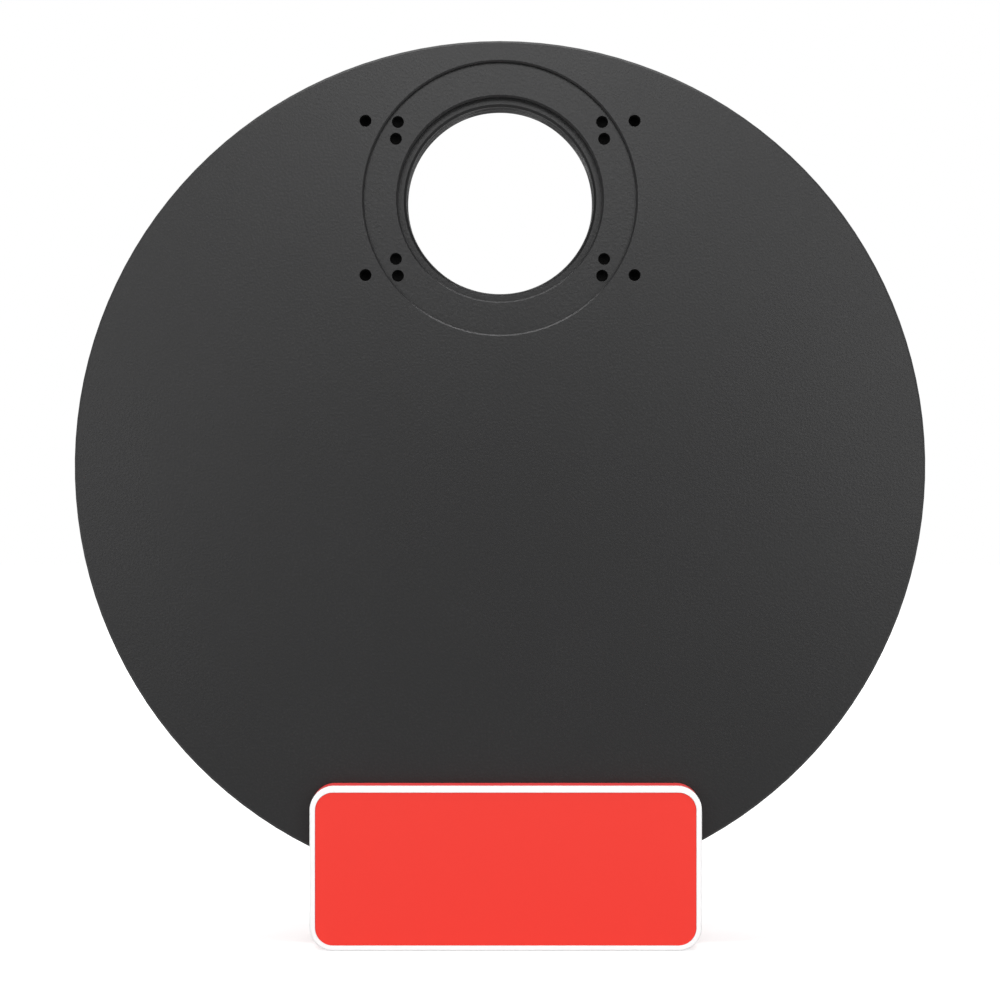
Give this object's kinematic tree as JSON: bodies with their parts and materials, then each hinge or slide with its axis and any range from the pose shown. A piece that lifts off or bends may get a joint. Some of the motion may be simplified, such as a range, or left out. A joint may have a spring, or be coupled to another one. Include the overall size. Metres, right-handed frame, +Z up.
{
  "type": "optical filter wheel",
  "caption": "Flat round motorised filter wheel with an offset see-through port, a geared carousel of round filters inside and a small drive box at its foot.",
  "frame": {"origin": "centre of the camera port, on the light axis, at the camera-side face of the case", "axes": "+Z up, from the drive box to the port; +Y along the light axis, from the camera side to the telescope side; +X to the right as seen from the camera side"},
  "size_m": [0.212, 0.0296, 0.2251],
  "materials": {
    "black_anodised": "fine bead-blasted black anodised, satin",
    "wheel_anodised": "turned and black anodised, satin",
    "cell_anodised": "turned and black anodised, semi-gloss",
    "black_screws": "black oxide",
    "steel": "ground and bright",
    "nickel": "nickel plated",
    "plate_aluminium": "bright, as milled",
    "motor_case": "zinc plated, satin",
    "brass_gear": "hobbed, bright",
    "red_housing": "bead-blasted red anodised, satin",
    "white_lid": "moulded, satin white",
    "red_label": "satin printed film, bare",
    "board_laminate": "green solder mask",
    "chip_plastic": "moulded black",
    "connector_plastic": "moulded cream",
    "clear_glass": "coated, polished",
    "red_glass": "coated, polished",
    "green_glass": "coated, polished",
    "blue_glass": "coated, polished",
    "deep_red_glass": "mirror-like interference coating",
    "teal_glass": "mirror-like interference coating"
  },
  "bodies": {
    "case": {"front_cover": "black_anodised", "rear_housing": "black_anodised", "cover_screws": "black_screws", "scope_ring": "black_anodised", "scope_ring_screws": "black_screws", "wheel_axle": "steel", "axle_circlip": "steel", "axle_screws": "black_screws", "bearing_inner_rings": "steel", "drive_housing": "red_housing", "housing_screws": "black_screws", "box_lid": "white_lid", "lid_label": "red_label", "lid_screws": "black_screws", "motor_plate": "plate_aluminium", "motor_can": "motor_case", "motor_screws": "steel", "plate_screws": "steel", "control_board": "board_laminate", "board_screws": "steel", "board_chips": "chip_plastic", "hall_sensor": "chip_plastic", "usb_socket": "steel", "motor_terminal": "connector_plastic", "motor_socket": "connector_plastic", "motor_pins": "nickel"},
    "wheel": {"carousel": "wheel_anodised", "bearing_outer_rings": "steel", "index_magnets": "nickel", "filter_cells": "cell_anodised", "filter_retainers": "cell_anodised", "glass_luminance": "clear_glass", "glass_red": "red_glass", "glass_green": "green_glass", "glass_blue": "blue_glass", "glass_hydrogen": "deep_red_glass", "glass_oxygen": "teal_glass"},
    "pinion": {"motor_shaft": "steel", "drive_pinion": "brass_gear"}
  },
  "joints": [
    {"name": "carousel_spin", "type": "hinge", "parent": "case", "child": "wheel", "pos_m": [0, 0.01, -0.0668], "axis": [0, 1, 0], "continuous": true},
    {"name": "pinion_spin", "type": "hinge", "parent": "case", "child": "pinion", "pos_m": [-0.02183, 0.01, -0.16951], "axis": [0, 1, 0], "continuous": true}
  ],
  "couplings": [
    {"joint": "pinion_spin", "follows": "carousel_spin", "ratio": -11}
  ]
}
